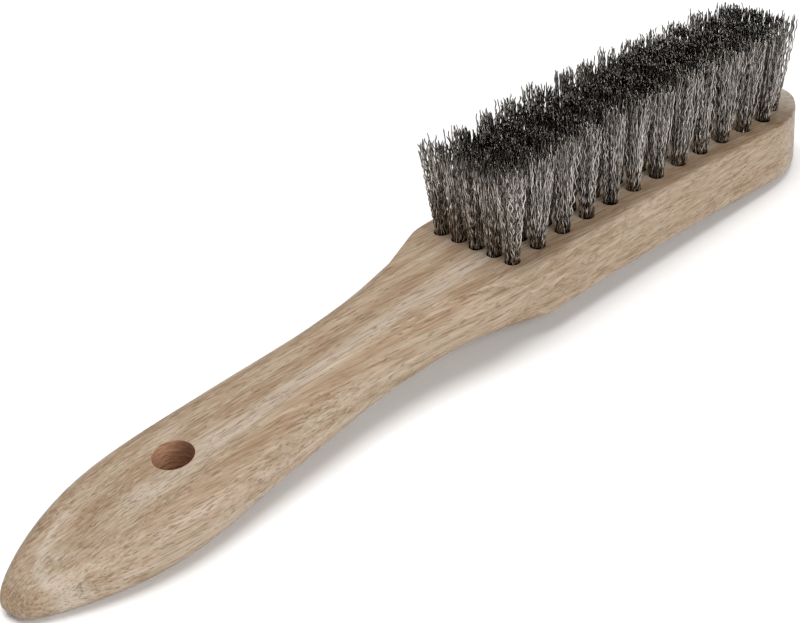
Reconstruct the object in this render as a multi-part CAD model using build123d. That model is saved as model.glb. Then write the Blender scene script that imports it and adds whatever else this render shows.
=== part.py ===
from build123d import *
import math
import os

# Wire scratch brush: a shaped beech stock set with tufts of crimped stainless wire.
#
# The brush lies on its back with the bristles up. +X runs from the handle to the toe,
# +Z is up, and the origin is on the resting surface under the middle of the stock.
# Each tuft is folded in half round a flat steel anchor, and the anchor is driven to
# the bottom of a blind hole, where its ends bite into the wood.

# Stock, millimetres and degrees
OVERALL_LENGTH = 292.0
STOCK_WIDTH = 37.5
HEAD_THICKNESS = 18.0
ARCH_RADIUS = 1060.0        # the whole bristle face is one long arc
ARCH_TOP_X = 26.5
ARCH_TOP_Z = 23.75
PLANING_ALLOWANCE = 0.05    # the handle stands this far over the arc until it is planed
SANDED_OFF = -0.1           # the grip's underside stands this low until it is sanded flat

# Head
TOE_SIDE_RADIUS = 35.0
TOE_NOSE_RADIUS = 12.0
TOE_KICK_LENGTH = 10.0      # the back of the toe rises over this length
TOE_KICK_HEIGHT = 4.0
HEAD_BACK_EASING = 2.4      # radius along the back arris
HEAD_FACE_EASING = 0.5      # radius along the face arris
SHOULDER_X_FACE = 7.3       # where the head reaches its full width, at the face
SHOULDER_X_BACK = 21.5      # and at the back
SHOULDER_ANGLE = 20.0
SHOULDER_EASING = 10.0
RAMP_START = (-12.0, 9.0)   # the step under the neck, in side view
RAMP_END_X = 5.0

# Tuft pattern
ROWS = 5
RANKS = 12
ROW_PITCH = 6.1
RANK_PITCH = 10.0
FIRST_RANK_X = 11.5
TOE_RANK_TUFTS = 4
TOE_RANK_GAP = 8.3

# Tufts and anchors
TUFT_DIAMETER = 4.2         # at the bristle face, filling its hole
HOLE_DEPTH = 11.0
HOLE_OVERRUN = 1.0          # the drill starts this far above the face
WIRE_LENGTH = 27.0          # from the bristle face to the trimmed ends
TOE_WIRE_LENGTH = 28.4      # the toe rank is left a little long
TUFT_TOP_DIAMETER = 5.8
SIDE_SPLAY = 3.0            # lean of the outer rows
END_SPLAY = 2.5             # lean of the first and last ranks
ANCHOR_LENGTH = 5.0
ANCHOR_THICKNESS = 0.45
ANCHOR_WIDTH = 2.0
FOLD_THICKNESS = 1.0        # wire folded under the anchor

# Hanging hole
HANG_HOLE_DIAMETER = 10.4
HANG_HOLE_X = -95.0

TIP_X = -OVERALL_LENGTH / 2
TOE_X = OVERALL_LENGTH / 2
OVERSIZE = 60.0             # reach of the cutting solids past the stock

# Handle sections: x, half width, underside, depth of the top below the arc, edge radius
HANDLE_SECTIONS = [
    (TIP_X, 1.3, 2.9, 6.2, 0.2),
    (-145.2, 3.7, 1.75, 5.4, 1.2),
    (-143.0, 5.9, 0.85, 3.8, 2.5),
    (-139.0, 8.4, 0.0, 2.15, 4.1),
    (-133.0, 11.4, SANDED_OFF, 1.4, 5.0),
    (-122.5, 15.3, SANDED_OFF, 0.95, 6.0),
    (-110.0, 17.65, SANDED_OFF, 0.5, 7.0),
    (-98.0, 17.95, SANDED_OFF, 0.15, 8.0),
    (-80.0, 16.45, 1.3, 0.0, 8.2),
    (-60.0, 14.85, 2.7, 0.0, 8.3),
    (-44.0, 13.65, 4.05, 0.0, 8.1),
    (-31.0, 13.75, 5.4, 0.0, 7.9),
    (-24.0, 14.1, 6.0, 0.0, 7.6),
    (-16.0, 15.1, 7.1, 0.0, 7.3),
    (-5.0, 17.1, 7.9, 0.0, 7.1),
    (8.0, 18.1, 7.8, 0.0, 7.1),
    (20.0, 17.0, 7.8, 0.0, 7.1),
]


def face_height(x):
    """Height of the bristle face above the resting surface."""
    drop = ARCH_RADIUS - math.sqrt(ARCH_RADIUS ** 2 - (x - ARCH_TOP_X) ** 2)
    return ARCH_TOP_Z - drop


def back_height(x):
    """Height of the head's back, which keeps one thickness below the face."""
    return face_height(x) - HEAD_THICKNESS


def on_face(x, y):
    """A place on the bristle face, with its own Z along the face's normal."""
    tilt = math.degrees(math.asin((x - ARCH_TOP_X) / ARCH_RADIUS))
    return Pos(x, y, face_height(x)) * Rot(0, tilt, 0)


def handle():
    """The grip, lofted through rounded rectangles from the tip into the head."""
    sections = []
    for x, half_width, underside, below_arc, radius in HANDLE_SECTIONS:
        top = face_height(x) + PLANING_ALLOWANCE - below_arc
        middle = Plane(origin=(x, 0, (top + underside) / 2), x_dir=(0, 1, 0), z_dir=(1, 0, 0))
        sections.append(middle * RectangleRounded(2 * half_width, top - underside, radius))
    return loft(sections)


def over_the_arc():
    """Everything above the bristle face, to plane the face to its arc."""
    axis = Pos(ARCH_TOP_X, 0, ARCH_TOP_Z - ARCH_RADIUS) * Rot(90, 0, 0)
    slab = Pos(0, 0, ARCH_TOP_Z) * Box(2 * OVERALL_LENGTH, OVERSIZE, OVERSIZE)
    return slab - axis * Cylinder(ARCH_RADIUS, 2 * OVERSIZE)


def under_the_rest():
    """Everything below the resting surface, to sand the underside flat."""
    return Pos(0, 0, -OVERSIZE / 2) * Box(2 * OVERALL_LENGTH, OVERSIZE, OVERSIZE)


def head_side_view():
    """Side view of the head: arched back, kicked-up toe and the ramp under the neck."""
    kick_x = TOE_X - TOE_KICK_LENGTH
    middle_x = (RAMP_END_X + kick_x) / 2
    ramp_end = (RAMP_END_X, back_height(RAMP_END_X))
    kick = (kick_x, back_height(kick_x))
    toe = (TOE_X, TOE_KICK_HEIGHT)
    over_face = ARCH_TOP_Z + PLANING_ALLOWANCE
    back = ThreePointArc(ramp_end, (middle_x, back_height(middle_x)), kick)
    rise = TangentArc(kick, toe, tangent=back % 1)
    rest = Polyline(toe, (TOE_X, over_face), (-OVERSIZE, over_face),
                    (-OVERSIZE, RAMP_START[1]), RAMP_START, ramp_end)
    return extrude(Plane.XZ * make_face(back + rise + rest), amount=OVERSIZE, both=True)


def head_plan():
    """Plan of the head: parallel sides and a pointed, softly rounded toe."""
    half = STOCK_WIDTH / 2
    side_centre_y = half - TOE_SIDE_RADIUS
    centre_gap = math.sqrt((TOE_SIDE_RADIUS - TOE_NOSE_RADIUS) ** 2 - side_centre_y ** 2)
    nose_angle = math.degrees(math.atan2(-side_centre_y, centre_gap))
    nose_centre_x = TOE_X - TOE_NOSE_RADIUS
    toe_start = nose_centre_x - centre_gap
    side = Line((-OVERSIZE, half), (toe_start, half))
    side += CenterArc((toe_start, side_centre_y), TOE_SIDE_RADIUS, 90, nose_angle - 90)
    nose = CenterArc((nose_centre_x, 0), TOE_NOSE_RADIUS, nose_angle, -2 * nose_angle)
    end = Line((-OVERSIZE, half), (-OVERSIZE, -half))
    outline = side + nose + mirror(side, Plane.XZ) + end
    return extrude(make_face(outline), amount=OVERSIZE, both=True)


def shoulder_wedge():
    """Slanted wedge that brings the head in to the neck."""
    slope = math.tan(math.radians(SHOULDER_ANGLE))
    lean = (SHOULDER_X_FACE - SHOULDER_X_BACK) / HEAD_THICKNESS

    def section(z):
        shoulder_x = SHOULDER_X_FACE + lean * (z - ARCH_TOP_Z)
        point_x = shoulder_x - STOCK_WIDTH / 2 / slope
        end_x = point_x + OVERALL_LENGTH
        wide = OVERALL_LENGTH * slope
        outline = Polyline((point_x, 0), (end_x, wide), (end_x, -wide), close=True)
        return Pos(0, 0, z) * make_face(outline)

    return loft([section(-OVERSIZE), section(OVERSIZE)], ruled=True)


def head():
    """The head block with its arrises eased, before it is joined to the handle."""
    block = head_side_view() & head_plan() & shoulder_wedge()
    block = block - over_the_arc()
    half = STOCK_WIDTH / 2
    near = 0.5

    def is_shoulder(edge):
        middle = edge.center()
        between = SHOULDER_X_FACE < middle.X < SHOULDER_X_BACK
        return between and abs(abs(middle.Y) - half) < near and edge.length > HEAD_THICKNESS

    def is_back(edge):
        middle = edge.center()
        return middle.X > RAMP_END_X + near and middle.Z < HEAD_THICKNESS / 2

    def is_face(edge):
        middle = edge.center()
        inside_handle = abs(middle.Y) < near and middle.X < 0
        return face_height(middle.X) - middle.Z < 2 * near and not inside_handle

    block = fillet(block.edges().filter_by(is_shoulder), SHOULDER_EASING)
    block = fillet(block.edges().filter_by(is_back), HEAD_BACK_EASING)
    return fillet(block.edges().filter_by(is_face), HEAD_FACE_EASING)


def tuft_ranks():
    """The centres of the tufts, a list of (x, y) for each rank from the neck to the toe."""
    ranks = []
    for rank in range(RANKS):
        x = FIRST_RANK_X + rank * RANK_PITCH
        ranks.append([(x, (row - (ROWS - 1) / 2) * ROW_PITCH) for row in range(ROWS)])
    toe_x = FIRST_RANK_X + (RANKS - 1) * RANK_PITCH + TOE_RANK_GAP
    middle = (TOE_RANK_TUFTS - 1) / 2
    ranks.append([(toe_x, (row - middle) * ROW_PITCH) for row in range(TOE_RANK_TUFTS)])
    return ranks


def anchor_plate():
    """A flat anchor at its depth below the face, with its length along the brush."""
    height = FOLD_THICKNESS + ANCHOR_WIDTH / 2 - HOLE_DEPTH
    return Pos(0, 0, height) * Box(ANCHOR_LENGTH, ANCHOR_THICKNESS, ANCHOR_WIDTH)


def tuft_hole():
    """The drilled hole and the two bites that the anchor's ends make in its wall."""
    height = (HOLE_OVERRUN - HOLE_DEPTH) / 2
    drilled = Pos(0, 0, height) * Cylinder(TUFT_DIAMETER / 2, HOLE_DEPTH + HOLE_OVERRUN)
    return drilled + anchor_plate()


def splay(x, y):
    """How far a tuft's trimmed end leans off its hole's axis, along X and Y."""
    ranks = tuft_ranks()
    first_x = ranks[0][0][0]
    last_x = ranks[-1][0][0]
    along = (2 * x - first_x - last_x) / (last_x - first_x)
    across = y / ((ROWS - 1) / 2 * ROW_PITCH)
    lean_x = WIRE_LENGTH * math.tan(math.radians(END_SPLAY)) * along ** 3
    lean_y = WIRE_LENGTH * math.tan(math.radians(SIDE_SPLAY)) * across
    return lean_x, lean_y


def tuft(x, y, wire_length):
    """One bundle of folded wires: a tight shank in the hole and a flared brush above."""
    lean_x, lean_y = splay(x, y)
    shank = Pos(0, 0, -HOLE_DEPTH / 2) * Cylinder(TUFT_DIAMETER / 2, HOLE_DEPTH)
    foot = Circle(TUFT_DIAMETER / 2)
    trimmed_end = Pos(lean_x, lean_y, wire_length) * Circle(TUFT_TOP_DIAMETER / 2)
    brush = loft([foot, trimmed_end], ruled=True)
    return on_face(x, y) * (shank + brush - anchor_plate())


def hang_hole():
    """The through hole in the handle, square to the face."""
    return on_face(HANG_HOLE_X, 0) * Cylinder(HANG_HOLE_DIAMETER / 2, OVERSIZE)


def stock():
    """The whole beech stock: handle and head in one piece, drilled for its tufts."""
    body = (handle() - over_the_arc()) + head()
    body = body - under_the_rest() - hang_hole()
    holes = [on_face(x, y) * tuft_hole() for rank in tuft_ranks() for x, y in rank]
    return body - holes


def write(shape, node):
    """Writes one node's solids to its STEP file."""
    shape.label = node
    export_step(shape, "parts/" + node + ".step")


def main():
    os.makedirs("parts", exist_ok=True)
    write(stock(), "wood_stock")
    for number, rank in enumerate(tuft_ranks(), start=1):
        wire_length = WIRE_LENGTH if number <= RANKS else TOE_WIRE_LENGTH
        tufts = [tuft(x, y, wire_length) for x, y in rank]
        anchors = [on_face(x, y) * anchor_plate() for x, y in rank]
        write(Compound(children=tufts), f"tuft_rank_{number:02d}")
        write(Compound(children=anchors), f"anchor_rank_{number:02d}")


if __name__ == "__main__":
    main()
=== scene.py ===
import math
import bpy
import numpy as np
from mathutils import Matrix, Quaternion, Vector


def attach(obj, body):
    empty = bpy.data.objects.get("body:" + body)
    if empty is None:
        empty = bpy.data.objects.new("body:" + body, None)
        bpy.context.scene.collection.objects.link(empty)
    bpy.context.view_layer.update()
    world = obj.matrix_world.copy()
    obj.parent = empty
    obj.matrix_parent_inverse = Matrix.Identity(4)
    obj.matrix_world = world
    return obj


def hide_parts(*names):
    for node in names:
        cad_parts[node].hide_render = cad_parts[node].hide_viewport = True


# Wire scratch brush: the beech stock and its anchors keep their CAD shapes, and every
# tuft solid is replaced by the crimped wires it stands for. Metres, in the CAD frame.

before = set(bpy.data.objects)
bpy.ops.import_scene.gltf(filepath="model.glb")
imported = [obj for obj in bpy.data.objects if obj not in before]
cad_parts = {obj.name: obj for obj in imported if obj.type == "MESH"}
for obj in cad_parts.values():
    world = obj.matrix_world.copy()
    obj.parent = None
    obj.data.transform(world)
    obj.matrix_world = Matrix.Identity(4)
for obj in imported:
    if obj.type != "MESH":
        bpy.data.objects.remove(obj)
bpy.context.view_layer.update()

MM = 0.001
RANDOM = np.random.default_rng(7)

# Camera
CAMERA_PLACE = Vector((-0.35173, -0.33192, 0.31127))
CAMERA_AZIMUTH = math.radians(44.84)
CAMERA_ELEVATION = math.radians(31.91)
CAMERA_ROLL = math.radians(-3.345)
CAMERA_LENS = 99.0
SENSOR_WIDTH = 36.0

# Studio
WORLD_STRENGTH = 0.12
KEY_PLACE = (-0.15, 0.35, 2.3)
KEY_SIZE = 2.6
KEY_POWER = 69.0
FILL_PLACE = (-0.2, -1.6, 0.8)
FILL_SIZE = 1.4
FILL_POWER = 23.0
FLOOR_SIZE = 12.0

# Stock, as in the CAD
FACE_RADIUS = 1060.0 * MM
FACE_TOP_X = 26.5 * MM
FACE_TOP_Z = 23.75 * MM
HANG_HOLE_X = -94.04 * MM
HANG_HOLE_Z = 8.32 * MM
HANG_HOLE_SLOPE = -0.1154
HANG_HOLE_RADIUS = 5.2 * MM

# Beech: grain, growth rings and flecks. Noise cells are millimetres along, across and up
GRAIN_TURN = math.radians(6.5)
GRAIN_WANDER = 1.6 * MM
WANDER_CELLS = (45, 14, 14)
PITH_ACROSS = -4.0 * MM
PITH_HEIGHT = 78.0 * MM
RING_CELLS = (2.6, 160, 1)
STREAK_CELLS = (70, 2.2, 2.2)
LINE_CELLS = (18, 0.62, 0.62)
PINK_CELLS = (30, 5, 5)
FLECK_CELLS = (3.6, 0.34, 0.34)
DRIFT_CELLS = (28, 3.5, 3.5)
FLECK_LIMIT_BARE = 0.66
FLECK_LIMIT_DENSE = 0.58
FLECK_EDGE = 0.06
LINE_RELIEF = 0.5
RELIEF_DEPTH = 0.15 * MM
RELIEF_STRENGTH = 0.45
DULL_STREAK_ROUGHNESS = 0.8
FINE_STREAK_ROUGHNESS = 0.3

# Beech: the broad figure. A band lies at a distance from the heart line, is full within
# its core and ends at its reach. A pair of places runs from nothing to full
HEART_ACROSS = -5.0 * MM
HEART_CORE = 2.0 * MM
HEART_REACH = 4.0 * MM
FIGURE_WOBBLE = 5.0 * MM
WOBBLE_CELLS = (26, 7, 40)
NECK_X = -42.0 * MM
NECK_CORE = 5.0 * MM
NECK_REACH = 55.0 * MM
NECK_SQUEEZE = 0.45
TIP_ARCS_START = -108.0 * MM
TIP_ARCS_SQUASH = 0.45
HEAD_FROM = -5.0 * MM
HEAD_TO = 20.0 * MM
FLANK_PLACE = 7.8 * MM
FLANK_SHIFT_ON_HEAD = 2.2 * MM
FLANK_CORE = 1.4 * MM
FLANK_REACH = 3.4 * MM
EDGE_INNER = (14.0 * MM, 15.5 * MM)
EDGE_OUTER = (22.0 * MM, 17.0 * MM)
EDGE_STRENGTH = 0.8
EDGE_LOSS_AT_NECK = 0.6
OUTER_ARC_PLACE = 13.2 * MM
OUTER_ARC_CORE = 0.3 * MM
OUTER_ARC_REACH = 0.9 * MM
INNER_ARC_PLACE = 6.0 * MM
INNER_ARC_CORE = 0.2 * MM
INNER_ARC_REACH = 0.8 * MM
INNER_ARC_STRENGTH = 0.7
ARCS_FADE_IN = (-112.0 * MM, -126.0 * MM)
# Painted shadow of the tufts on the near rim of the head: depth below the face and reach across
TUFT_SHADOW_DEPTH = (-3.0 * MM, -0.6 * MM)
TUFT_SHADOW_ACROSS = (-12.0 * MM, -15.0 * MM)
# Painted light on the toe end: where the paler colour starts and where it is full
TOE_LIGHT_FROM = 122.0 * MM
TOE_LIGHT_TO = 144.0 * MM

# Beech: colours
STREAK_DARK = (0.295, 0.210, 0.132, 1)
STREAK_PALE = (0.385, 0.304, 0.216, 1)
LATE_WOOD = (0.27, 0.175, 0.100, 1)
PALE_WOOD = (0.47, 0.400, 0.325, 1)
PINK_WOOD = (0.43, 0.295, 0.220, 1)
FLANK_WOOD = (0.265, 0.172, 0.102, 1)
HEART_WOOD = (0.45, 0.385, 0.320, 1)
# Colour of the painted shadow of the tufts on the near rim
TUFT_SHADOW_WOOD = (0.240, 0.158, 0.095, 1)
ARC_WOOD = (0.46, 0.400, 0.325, 1)
# Colour of the painted light on the toe end
TOE_PAINTED_LIGHT = (0.51, 0.467, 0.405, 1)
LINE_SHADE = (0.68, 0.60, 0.52, 1)
LINE_PALE = (0.53, 0.450, 0.370, 1)
FLECK_BROWN = (0.15, 0.092, 0.056, 1)

# Wall of the hanging hole
WALL_FROM = HANG_HOLE_RADIUS + 0.1 * MM
WALL_TO = HANG_HOLE_RADIUS + 0.02 * MM
RIDGE_CELLS = (3.0, 3.0, 0.5)
WALL_SCORCHED = (0.30, 0.136, 0.070, 1)
WALL_BARE = (0.55, 0.335, 0.215, 1)

# Steel: heights are above the bristle face
STEEL_TONE_CELLS = (0.7, 0.7, 10)
# Painted shade deep in the tufts: the lower part of the wires is darker
LOWER_PAINTED_SHADE_FROM = 18.0 * MM
LOWER_PAINTED_SHADE_TO = 4.0 * MM
LOWER_PAINTED_SHADE = (0.84, 0.83, 0.82, 1)
# Painted shade on the upper ends of the wires, less on the outer tufts
TOP_SHADE_FROM = 20.0 * MM
TOP_SHADE_TO = 26.0 * MM
TOP_PAINTED_SHADE = (0.38, 0.38, 0.37, 1)
OUTER_TUFTS = (9.0 * MM, 13.0 * MM)
OUTER_TOP_SHADE_LOSS = 0.65
WIRE_BRIGHT = (0.63, 0.58, 0.535, 1)
WIRE_DULL = (0.14, 0.13, 0.12, 1)
WIRE_ROUGHNESS = 0.2
ANCHOR_BRIGHT = (0.60, 0.59, 0.58, 1)
ANCHOR_DULL = (0.40, 0.39, 0.38, 1)
ANCHOR_ROUGHNESS = 0.45

# Paper
PAPER_CELLS = (400, 400, 400)
PAPER_GREY = (0.96, 0.96, 0.96, 1)
PAPER_WHITE = (0.98, 0.98, 0.98, 1)

# Tufts: where they stand in the CAD's tuft solids
HOLE_DEPTH = 11.0 * MM
BOTTOM_BAND = 0.7 * MM
BOTTOM_GAP = 1.0 * MM
TOP_BAND = 1.0 * MM
TOP_GAP = 0.25 * MM

# Tufts: the wires, and how much they differ
ROOT_DEPTH = 4.0 * MM
WIRES_PER_TUFT = 50
WIRE_RADIUS = 0.175 * MM
WIRE_SIDES = 5
WIRE_END_SIZE = 0.35
FOOT_RADIUS = 1.85 * MM
FOOT_SCATTER = 0.08 * MM
ANCHOR_GAP = 0.5 * MM
TOP_RADIUS = 3.6 * MM
TUFT_SPREAD_CHANGE = 0.09
WIRE_SPREAD_CHANGE = 0.2
TIP_SCATTER = 0.6 * MM
TUFT_SCATTER = 0.35 * MM
WIDEST_TIPS = 4.9 * MM
NEAR_CORNER = (20.0 * MM, -10.0 * MM)
CORNER_SPREAD = 1.35
STRAY_SHARE = 0.12
STRAY_REACH = 1.5
TUFT_TRIM_CHANGE = 0.45 * MM
WIRE_TRIM_CHANGE = 0.55 * MM
SHORTEST_TRIM = -2.0 * MM
LONGEST_TRIM = 1.2 * MM
FAR_TRIM = 0.7 * MM
FAR_TOE_TRIM = 1.4 * MM
TOE_TRIM_START = 85.0 * MM
TOE_TRIM_RUN = 20.0 * MM
FAR_TRIM_START = -6.0 * MM
FAR_TRIM_RUN = 12.0 * MM
LEAN_SHARE = 0.4
FLARE_POWER = 1.05
FLARE_CHANGE = 0.12
BOW_SIZE = 0.42 * MM
CRIMP_LENGTH = 3.4 * MM
CRIMP_HEIGHT = 0.23 * MM
CRIMP_HEIGHT_CHANGE = 0.25
CRIMP_PACE = 0.95
CRIMP_PACE_CHANGE = 0.06
CRIMP_DISORDER = 0.9
STEPS_PER_CRIMP = 7


# --- camera, floor and light ----------------------------------------------------------

def add_object(name, data):
    thing = bpy.data.objects.new(name, data)
    bpy.context.scene.collection.objects.link(thing)
    return thing


def add_camera():
    level = math.cos(CAMERA_ELEVATION)
    view = Vector((level * math.cos(CAMERA_AZIMUTH),
                   level * math.sin(CAMERA_AZIMUTH),
                   -math.sin(CAMERA_ELEVATION)))
    data = bpy.data.cameras.new("camera")
    data.lens = CAMERA_LENS
    data.sensor_width = SENSOR_WIDTH
    camera = add_object("camera", data)
    camera.location = CAMERA_PLACE
    camera.rotation_mode = "QUATERNION"
    camera.rotation_quaternion = view.to_track_quat("-Z", "Y") @ Quaternion((0, 0, 1), CAMERA_ROLL)
    bpy.context.scene.camera = camera


def add_softbox(name, place, size, power):
    data = bpy.data.lights.new(name, "AREA")
    data.shape = "DISK"
    data.size = size
    data.energy = power
    light = add_object(name, data)
    light.location = place
    light.rotation_mode = "QUATERNION"
    light.rotation_quaternion = (-Vector(place)).to_track_quat("-Z", "Y")


def add_floor():
    half = FLOOR_SIZE / 2
    corners = [(-half, -half, 0), (half, -half, 0), (half, half, 0), (-half, half, 0)]
    mesh = bpy.data.meshes.new("floor")
    mesh.from_pydata(corners, [], [(0, 1, 2, 3)])
    mesh.materials.append(paper())
    add_object("floor", mesh)


def add_studio():
    scene = bpy.context.scene
    scene.view_settings.view_transform = "Standard"
    world = bpy.data.worlds.new("studio")
    scene.world = world
    world.use_nodes = True
    background = world.node_tree.nodes["Background"]
    background.inputs["Color"].default_value = (1.0, 1.0, 1.0, 1.0)
    background.inputs["Strength"].default_value = WORLD_STRENGTH
    add_softbox("key", KEY_PLACE, KEY_SIZE, KEY_POWER)
    add_softbox("fill", FILL_PLACE, FILL_SIZE, FILL_POWER)
    add_floor()


# --- materials ------------------------------------------------------------------------

class Shading:
    """A Principled material and short ways to add nodes to it."""

    def __init__(self, name):
        self.material = bpy.data.materials.new(name)
        self.material.use_nodes = True
        self.tree = self.material.node_tree
        self.shader = self.tree.nodes["Principled BSDF"]

    def node(self, kind, inputs, **settings):
        made = self.tree.nodes.new(kind)
        for key, value in settings.items():
            setattr(made, key, value)
        for key, value in inputs.items():
            self.feed(made.inputs[key], value)
        return made

    def feed(self, socket, value):
        if isinstance(value, bpy.types.NodeSocket):
            self.tree.links.new(value, socket)
        else:
            socket.default_value = value

    def set(self, **inputs):
        for key, value in inputs.items():
            self.feed(self.shader.inputs[key.replace("_", " ")], value)

    def math(self, operation, first, second=0.0, third=0.0):
        made = self.node("ShaderNodeMath", {0: first, 1: second, 2: third}, operation=operation)
        return made.outputs[0]

    def product(self, first, second):
        return self.math("MULTIPLY", first, second)

    def hypotenuse(self, first, second):
        squares = self.math("ADD", self.math("POWER", first, 2.0), self.math("POWER", second, 2.0))
        return self.math("SQRT", squares)

    def vector_math(self, operation, first, second):
        made = self.node("ShaderNodeVectorMath", {0: first, 1: second}, operation=operation)
        return made.outputs["Vector"]

    def place(self):
        return self.node("ShaderNodeTexCoord", {}).outputs["Object"]

    def axes(self, vector):
        """The X, Y and Z of a vector."""
        made = self.node("ShaderNodeSeparateXYZ", {0: vector})
        return made.outputs["X"], made.outputs["Y"], made.outputs["Z"]

    def turned(self, vector, turn):
        made = self.node("ShaderNodeMapping", {"Vector": vector, "Rotation": (0.0, 0.0, turn)})
        return made.outputs["Vector"]

    def noise(self, vector, cells, detail=2.0, roughness=0.5, output="Fac"):
        """Noise in cells of the given sizes, in millimetres."""
        scale = tuple(1 / (size * MM) for size in cells)
        inputs = {"Vector": self.vector_math("MULTIPLY", vector, scale), "Scale": 1.0,
                  "Detail": detail, "Roughness": roughness}
        return self.node("ShaderNodeTexNoise", inputs).outputs[output]

    def between(self, value, start, end, at_start=0.0, at_end=1.0):
        """Runs from at_start to at_end while the value runs from start to end."""
        inputs = {"Value": value, "From Min": start, "From Max": end,
                  "To Min": at_start, "To Max": at_end}
        return self.node("ShaderNodeMapRange", inputs).outputs["Result"]

    def band(self, value, middle, core, reach):
        """1 within the core round the middle, 0 beyond the reach."""
        away = self.math("ABSOLUTE", self.math("SUBTRACT", value, middle))
        return self.between(away, reach, core)

    def blend(self, share, first, second, mode="MIX"):
        made = self.node("ShaderNodeMix", {0: share, 6: first, 7: second},
                         data_type="RGBA", blend_type=mode)
        return made.outputs[2]

    def bump(self, height, distance, strength):
        inputs = {"Height": height, "Distance": distance, "Strength": strength}
        return self.node("ShaderNodeBump", inputs).outputs["Normal"]


def above_face(look, x, z):
    """Height above the arched bristle face."""
    run = look.math("POWER", look.math("SUBTRACT", x, FACE_TOP_X), 2.0)
    face = look.math("MULTIPLY_ADD", run, -0.5 / FACE_RADIUS, FACE_TOP_Z)
    return look.math("SUBTRACT", z, face)


def paper():
    """The pale studio floor."""
    look = Shading("paper")
    mottle = look.noise(look.place(), PAPER_CELLS)
    look.set(Base_Color=look.blend(mottle, PAPER_GREY, PAPER_WHITE),
             Roughness=0.9, Specular_IOR_Level=0.1)
    return look.material


def along_grain(look, place):
    """The place along the grain, which runs a little across the brush and wanders."""
    wander = look.noise(place, WANDER_CELLS, detail=1.0, output="Color")
    drift = look.vector_math("SUBTRACT", wander, (0.5, 0.5, 0.5))
    drift = look.vector_math("MULTIPLY", drift, (0.0, GRAIN_WANDER, GRAIN_WANDER))
    return look.vector_math("ADD", look.turned(place, GRAIN_TURN), drift)


def growth_rings(look, grain):
    """Noise in rings round a pith above the bristle face."""
    x, y, z = look.axes(grain)
    from_pith = look.hypotenuse(look.math("SUBTRACT", y, PITH_ACROSS),
                                look.math("SUBTRACT", PITH_HEIGHT, z))
    ring_place = look.node("ShaderNodeCombineXYZ", {"X": from_pith, "Y": x}).outputs[0]
    return look.noise(ring_place, RING_CELLS, roughness=0.6)


def from_heart(look, place, waist):
    """Distance from the heart line: squeezed at the neck, and closing in arcs at the tip."""
    x, y, _ = look.axes(place)
    squeeze = look.math("MULTIPLY_ADD", waist, NECK_SQUEEZE, 1.0)
    beside = look.product(look.math("SUBTRACT", y, HEART_ACROSS), squeeze)
    beyond = look.product(look.math("SUBTRACT", x, TIP_ARCS_START), TIP_ARCS_SQUASH)
    arc = look.hypotenuse(beside, look.math("MINIMUM", beyond, 0.0))
    wobble = look.noise(place, WOBBLE_CELLS, roughness=0.6)
    return look.math("MULTIPLY_ADD", wobble, FIGURE_WOBBLE,
                     look.math("SUBTRACT", arc, FIGURE_WOBBLE / 2))


def brown_flanks(look, arc, on_head, waist):
    """The brown bands beside the heart, and the ones along the edges, which fade at the neck."""
    middle = look.math("MULTIPLY_ADD", on_head, FLANK_SHIFT_ON_HEAD, FLANK_PLACE)
    flank = look.band(arc, middle, FLANK_CORE, FLANK_REACH)
    edge = look.product(look.between(arc, *EDGE_INNER), look.between(arc, *EDGE_OUTER))
    strength = look.math("MULTIPLY_ADD", waist, -EDGE_LOSS_AT_NECK, EDGE_STRENGTH)
    return look.math("MAXIMUM", flank, look.product(edge, strength))


def pale_arcs(look, arc, x):
    """The two thin pale arcs at the tip."""
    outer = look.band(arc, OUTER_ARC_PLACE, OUTER_ARC_CORE, OUTER_ARC_REACH)
    inner = look.band(arc, INNER_ARC_PLACE, INNER_ARC_CORE, INNER_ARC_REACH)
    arcs = look.math("MAXIMUM", outer, look.product(inner, INNER_ARC_STRENGTH))
    return look.product(arcs, look.between(x, *ARCS_FADE_IN))


def painted_tuft_shadow(look, place, on_head):
    """Painted shadow of the tufts: the rim of the head just below the bristle face on the near
    side, made darker.
    """
    x, y, z = look.axes(place)
    tuft_shadow = look.product(on_head, look.between(above_face(look, x, z), *TUFT_SHADOW_DEPTH))
    return look.product(tuft_shadow, look.between(y, *TUFT_SHADOW_ACROSS))


def dark_flecks(look, grain):
    """Short flecks along the grain, in drifts."""
    fleck_noise = look.noise(grain, FLECK_CELLS, detail=1.0, roughness=0.4)
    drifts = look.noise(grain, DRIFT_CELLS, detail=1.0)
    limit = look.between(drifts, 0.35, 0.65, FLECK_LIMIT_BARE, FLECK_LIMIT_DENSE)
    return look.between(look.math("SUBTRACT", fleck_noise, limit), 0.0, FLECK_EDGE)


def with_hole_wall(look, place, colour):
    """The colour, with the scorched and ridged wall of the hanging hole."""
    x, y, z = look.axes(place)
    axis_x = look.math("MULTIPLY_ADD", look.math("SUBTRACT", z, HANG_HOLE_Z),
                       HANG_HOLE_SLOPE, HANG_HOLE_X)
    from_axis = look.hypotenuse(look.math("SUBTRACT", x, axis_x), y)
    ridges = look.noise(place, RIDGE_CELLS, detail=3.0, roughness=0.7)
    wall = look.blend(look.between(ridges, 0.35, 0.65), WALL_SCORCHED, WALL_BARE)
    return look.blend(look.between(from_axis, WALL_FROM, WALL_TO), colour, wall)


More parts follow.
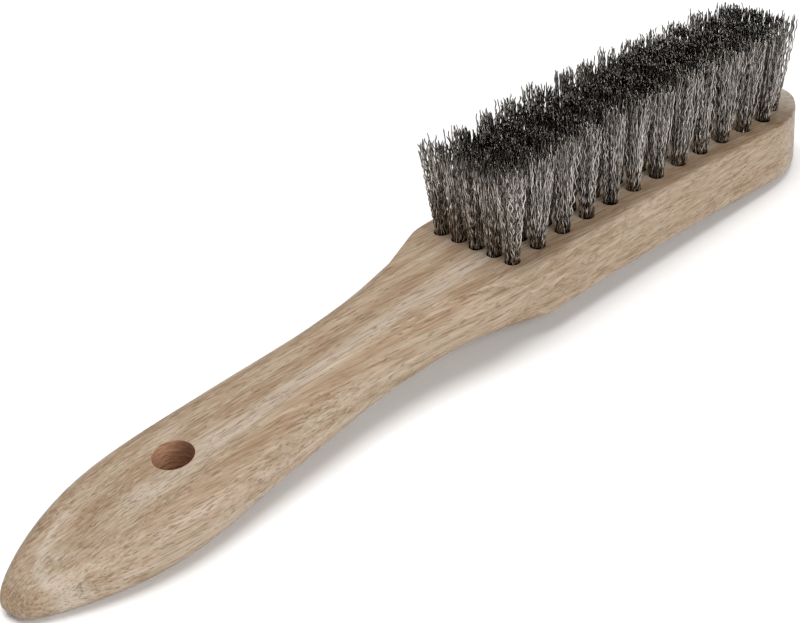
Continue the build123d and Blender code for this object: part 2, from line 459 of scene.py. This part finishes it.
def beech():
    """Raw sanded beech: growth rings and streaks, a broad figure of pale heart and brown
    flanks, fine grain lines, short dark flecks and the scorched wall of the hanging hole."""
    look = Shading("beech")
    place = look.place()
    grain = along_grain(look, place)
    x = look.axes(place)[0]

    streaks = look.noise(grain, STREAK_CELLS, detail=3.0, roughness=0.6)
    lines = look.noise(grain, LINE_CELLS, roughness=0.65)
    pink = look.noise(grain, PINK_CELLS)
    rings = growth_rings(look, grain)
    flecks = dark_flecks(look, grain)

    on_head = look.between(x, HEAD_FROM, HEAD_TO)
    waist = look.band(x, NECK_X, NECK_CORE, NECK_REACH)
    arc = from_heart(look, place, waist)

    # Each layer: where it lies, how strong it is and its colour
    broad_layers = [
        (look.between(rings, 0.53, 0.63), 0.30, LATE_WOOD),
        (look.between(rings, 0.47, 0.37), 0.40, PALE_WOOD),
        (look.between(pink, 0.52, 0.70), 0.30, PINK_WOOD),
        (brown_flanks(look, arc, on_head, waist), 0.60, FLANK_WOOD),
        (look.between(arc, HEART_REACH, HEART_CORE), 0.45, HEART_WOOD),
        # painted shadow of the tufts on the near rim of the head
        (painted_tuft_shadow(look, place, on_head), 0.60, TUFT_SHADOW_WOOD),
        (pale_arcs(look, arc, x), 0.55, ARC_WOOD),
        # painted light: the toe end made paler where light from the right falls
        (look.between(x, TOE_LIGHT_FROM, TOE_LIGHT_TO), 0.65, TOE_PAINTED_LIGHT),
    ]
    fine_layers = [
        (look.between(lines, 0.52, 0.74), 0.45, LINE_PALE),
        (flecks, 0.65, FLECK_BROWN),
    ]
    colour = look.blend(look.between(streaks, 0.3, 0.7), STREAK_DARK, STREAK_PALE)
    for share, strength, tint in broad_layers:
        colour = look.blend(look.product(share, strength), colour, tint)
    colour = look.blend(look.between(lines, 0.50, 0.28), colour, LINE_SHADE, "MULTIPLY")
    for share, strength, tint in fine_layers:
        colour = look.blend(look.product(share, strength), colour, tint)
    colour = with_hole_wall(look, place, colour)

    roughness = look.between(streaks, 0.0, 1.0, DULL_STREAK_ROUGHNESS, FINE_STREAK_ROUGHNESS)
    relief = look.math("SUBTRACT", look.product(lines, LINE_RELIEF), flecks)
    look.set(Base_Color=colour, Roughness=roughness, Specular_IOR_Level=0.3,
             Normal=look.bump(relief, RELIEF_DEPTH, RELIEF_STRENGTH))
    return look.material


def stainless(name, bright, dull, roughness):
    """Drawn stainless wire. Its tone changes from wire to wire. Painted shade makes the lower
    part a little darker and the upper ends darker, those of the outer tufts less so."""
    look = Shading(name)
    place = look.place()
    x, y, z = look.axes(place)
    above = above_face(look, x, z)

    tone = look.noise(place, STEEL_TONE_CELLS, roughness=0.6)
    colour = look.blend(look.between(tone, 0.40, 0.62), dull, bright)
    # painted shade deep in the tufts: darker towards the bottom
    deep_shade = look.between(above, LOWER_PAINTED_SHADE_FROM, LOWER_PAINTED_SHADE_TO)
    colour = look.blend(deep_shade, colour, LOWER_PAINTED_SHADE, "MULTIPLY")
    # painted shade on the upper ends, less on the outer tufts
    outer = look.between(look.math("ABSOLUTE", y), *OUTER_TUFTS)
    strength = look.math("MULTIPLY_ADD", outer, -OUTER_TOP_SHADE_LOSS, 1.0)
    top_shade = look.product(look.between(above, TOP_SHADE_FROM, TOP_SHADE_TO), strength)
    colour = look.blend(top_shade, colour, TOP_PAINTED_SHADE, "MULTIPLY")
    look.set(Base_Color=colour, Metallic=1.0, Roughness=roughness)
    return look.material


# --- tufts ----------------------------------------------------------------------------

def split_across(points, gap):
    """Splits points into groups that lie more than a gap apart across the brush."""
    points = points[np.argsort(points[:, 1])]
    cuts = np.nonzero(np.diff(points[:, 1]) > gap)[0] + 1
    return np.split(points, cuts)


def tuft_places(node):
    """The mouth, the axis and the middle of the trimmed end of each tuft of a rank."""
    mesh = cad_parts[node].data
    points = np.zeros(len(mesh.vertices) * 3, np.float32)
    mesh.vertices.foreach_get("co", points)
    points = points.reshape(-1, 3).astype(float)
    low = points[:, 2].min()
    high = points[:, 2].max()
    bottoms = split_across(points[points[:, 2] < low + BOTTOM_BAND], BOTTOM_GAP)
    tops = split_across(points[points[:, 2] > high - TOP_BAND], TOP_GAP)
    places = []
    for bottom, top in zip(bottoms, tops):
        along = bottom[bottom[:, 0].argmax()] - bottom[bottom[:, 0].argmin()]
        axis = np.array((-along[2], 0.0, along[0])) / np.hypot(along[0], along[2])
        foot = (bottom.min(0) + bottom.max(0)) / 2
        end = (top.min(0) + top.max(0)) / 2
        places.append((foot + axis * HOLE_DEPTH, axis, end))
    return places


def crimps(height, count):
    """Sideways waves of the wires: nearly in step within a tuft, as they were fed together."""
    turn = RANDOM.uniform(0, 2 * math.pi)
    phase = RANDOM.uniform(0, 2 * math.pi) + RANDOM.normal(0, CRIMP_DISORDER, count)
    facing = turn + RANDOM.normal(0, CRIMP_DISORDER, count)
    pace = RANDOM.normal(CRIMP_PACE, CRIMP_PACE_CHANGE, count)
    size = CRIMP_HEIGHT * RANDOM.normal(1.0, CRIMP_HEIGHT_CHANGE, count)
    wave = np.sin(height * 2 * math.pi / CRIMP_LENGTH * pace[:, None] + phase[:, None])
    wave = wave * size[:, None]
    return np.stack([wave * np.cos(facing)[:, None], wave * np.sin(facing)[:, None]], 2)


def wire_feet(count):
    """Where the wires leave the hole: packed in a disc that the anchor splits in two."""
    golden = math.pi * (3 - math.sqrt(5))
    number = np.arange(count) + 0.5
    radius = FOOT_RADIUS * np.sqrt(number / count)
    feet = np.stack([radius * np.cos(number * golden), radius * np.sin(number * golden)], 1)
    feet += RANDOM.normal(0, FOOT_SCATTER, (count, 2))
    feet[:, 1] += np.sign(feet[:, 1]) * ANCHOR_GAP / 2 * np.clip(1 - radius / FOOT_RADIUS, 0, 1)
    return feet


def far_trim(end):
    """How much shorter the tufts of the far side are trimmed, most of all near the toe."""
    toeward = np.clip((end[0] - TOE_TRIM_START) / TOE_TRIM_RUN, 0, 1)
    farward = np.clip((end[1] - FAR_TRIM_START) / FAR_TRIM_RUN, 0, 1)
    return farward * (FAR_TRIM + toeward * FAR_TOE_TRIM)


def wire_tips(feet, end):
    """Where the wires end, seen along the tuft: fanned out, with some strays."""
    count = len(feet)
    spread = TOP_RADIUS / FOOT_RADIUS * RANDOM.normal(1.0, TUFT_SPREAD_CHANGE)
    widest = WIDEST_TIPS
    if end[0] < NEAR_CORNER[0] and end[1] < NEAR_CORNER[1]:
        spread *= CORNER_SPREAD
        widest *= CORNER_SPREAD
    tips = feet * spread * RANDOM.normal(1.0, WIRE_SPREAD_CHANGE, (count, 1))
    tips += RANDOM.normal(0, TIP_SCATTER, (count, 2)) + RANDOM.normal(0, TUFT_SCATTER, 2)
    tips[RANDOM.random(count) < STRAY_SHARE] *= STRAY_REACH
    tips *= np.minimum(1, widest / np.linalg.norm(tips, axis=1, keepdims=True))
    return tips


def wire_lengths(reach, end, count):
    """How long the wires stand out of the hole, after an uneven trim."""
    trim = RANDOM.normal(0, TUFT_TRIM_CHANGE) - far_trim(end)
    trim = trim + RANDOM.normal(0, WIRE_TRIM_CHANGE, count)
    return reach + np.clip(trim, SHORTEST_TRIM, LONGEST_TRIM)


def wire_lines(mouth, axis, end):
    """Centre lines of one tuft's wires, as an array of wire, step and XYZ."""
    count = WIRES_PER_TUFT
    along = np.array((axis[2], 0.0, -axis[0]))
    across = np.array((0.0, 1.0, 0.0))
    reach = np.dot(end - mouth, axis)
    lean = (end - mouth - axis * reach) * LEAN_SHARE
    feet = wire_feet(count)
    tips = wire_tips(feet, end)
    length = wire_lengths(reach, end, count)

    steps = round((reach + ROOT_DEPTH) / CRIMP_LENGTH * STEPS_PER_CRIMP)
    share = np.linspace(0, 1, steps + 1)
    height = share[None, :] * (length[:, None] + ROOT_DEPTH) - ROOT_DEPTH
    rise = np.clip(height / reach, 0, None)
    flare = (rise ** RANDOM.normal(FLARE_POWER, FLARE_CHANGE, (count, 1)))[:, :, None]
    bow = RANDOM.normal(0, BOW_SIZE, (count, 1, 2)) * np.sin(rise * math.pi)[:, :, None]
    sideways = feet[:, None] * (1 - flare) + tips[:, None] * flare + bow + crimps(height, count)
    return (mouth + height[:, :, None] * axis + flare * lean
            + sideways[:, :, 0:1] * along + sideways[:, :, 1:2] * across)


def tube_points(lines):
    """Rings of points round the centre lines. The last ring is small: a wire's cut end."""
    steps = lines.shape[1]
    run = np.gradient(lines, axis=1)
    run[:, -1] = lines[:, -1] - lines[:, steps // 2]
    run /= np.linalg.norm(run, axis=2, keepdims=True)
    side = np.cross(run, (0.0, 1.0, 0.0))
    side /= np.linalg.norm(side, axis=2, keepdims=True)
    other = np.cross(run, side)
    angle = (np.arange(WIRE_SIDES) * 2 * math.pi / WIRE_SIDES)[:, None]
    ring = side[:, :, None] * np.cos(angle) + other[:, :, None] * np.sin(angle)
    ring[:, -1] *= WIRE_END_SIZE
    return (lines[:, :, None] + ring * WIRE_RADIUS).reshape(-1, 3)


def tube_faces(wires, steps):
    """The four-sided walls of the tubes, and the faces that close both ends."""
    index = np.arange(wires * steps * WIRE_SIDES).reshape(wires, steps, WIRE_SIDES)
    here = index[:, :-1]
    there = index[:, 1:]
    walls = np.stack([here, np.roll(here, -1, 2), np.roll(there, -1, 2), there], 3).reshape(-1, 4)
    top_shade = np.concatenate([index[:, -1], index[:, 0, ::-1]])
    return walls, top_shade


def wire_mesh(name, lines):
    """Round tubes along an array of centre lines."""
    points = tube_points(lines)
    walls, top_shade = tube_faces(*lines.shape[:2])
    corners = np.concatenate([walls.ravel(), top_shade.ravel()]).astype(np.int32)
    starts = np.concatenate([np.arange(len(walls)) * 4,
                             walls.size + np.arange(len(top_shade)) * WIRE_SIDES]).astype(np.int32)

    mesh = bpy.data.meshes.new(name)
    mesh.vertices.add(len(points))
    mesh.vertices.foreach_set("co", points.astype(np.float32).ravel())
    mesh.loops.add(len(corners))
    mesh.loops.foreach_set("vertex_index", corners)
    mesh.polygons.add(len(starts))
    mesh.polygons.foreach_set("loop_start", starts)
    mesh.polygons.foreach_set("use_smooth", np.arange(len(starts)) < len(walls))
    mesh.update(calc_edges=True)
    return mesh


def add_wires(material):
    for node in sorted(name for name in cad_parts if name.startswith("tuft_rank_")):
        lines = np.concatenate([wire_lines(*place) for place in tuft_places(node)])
        mesh = wire_mesh(node.replace("tuft", "wires"), lines)
        mesh.materials.append(material)
        piece = add_object(mesh.name, mesh)
        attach(piece, "root")
        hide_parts(node)


def dress(prefix, material):
    """Gives a material to the CAD pieces whose names start alike."""
    for name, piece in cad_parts.items():
        if name.startswith(prefix):
            piece.data.materials.clear()
            piece.data.materials.append(material)


add_camera()
add_studio()
dress("wood_stock", beech())
dress("anchor_rank_", stainless("anchor_steel", ANCHOR_BRIGHT, ANCHOR_DULL, ANCHOR_ROUGHNESS))
add_wires(stainless("crimped_wire", WIRE_BRIGHT, WIRE_DULL, WIRE_ROUGHNESS))
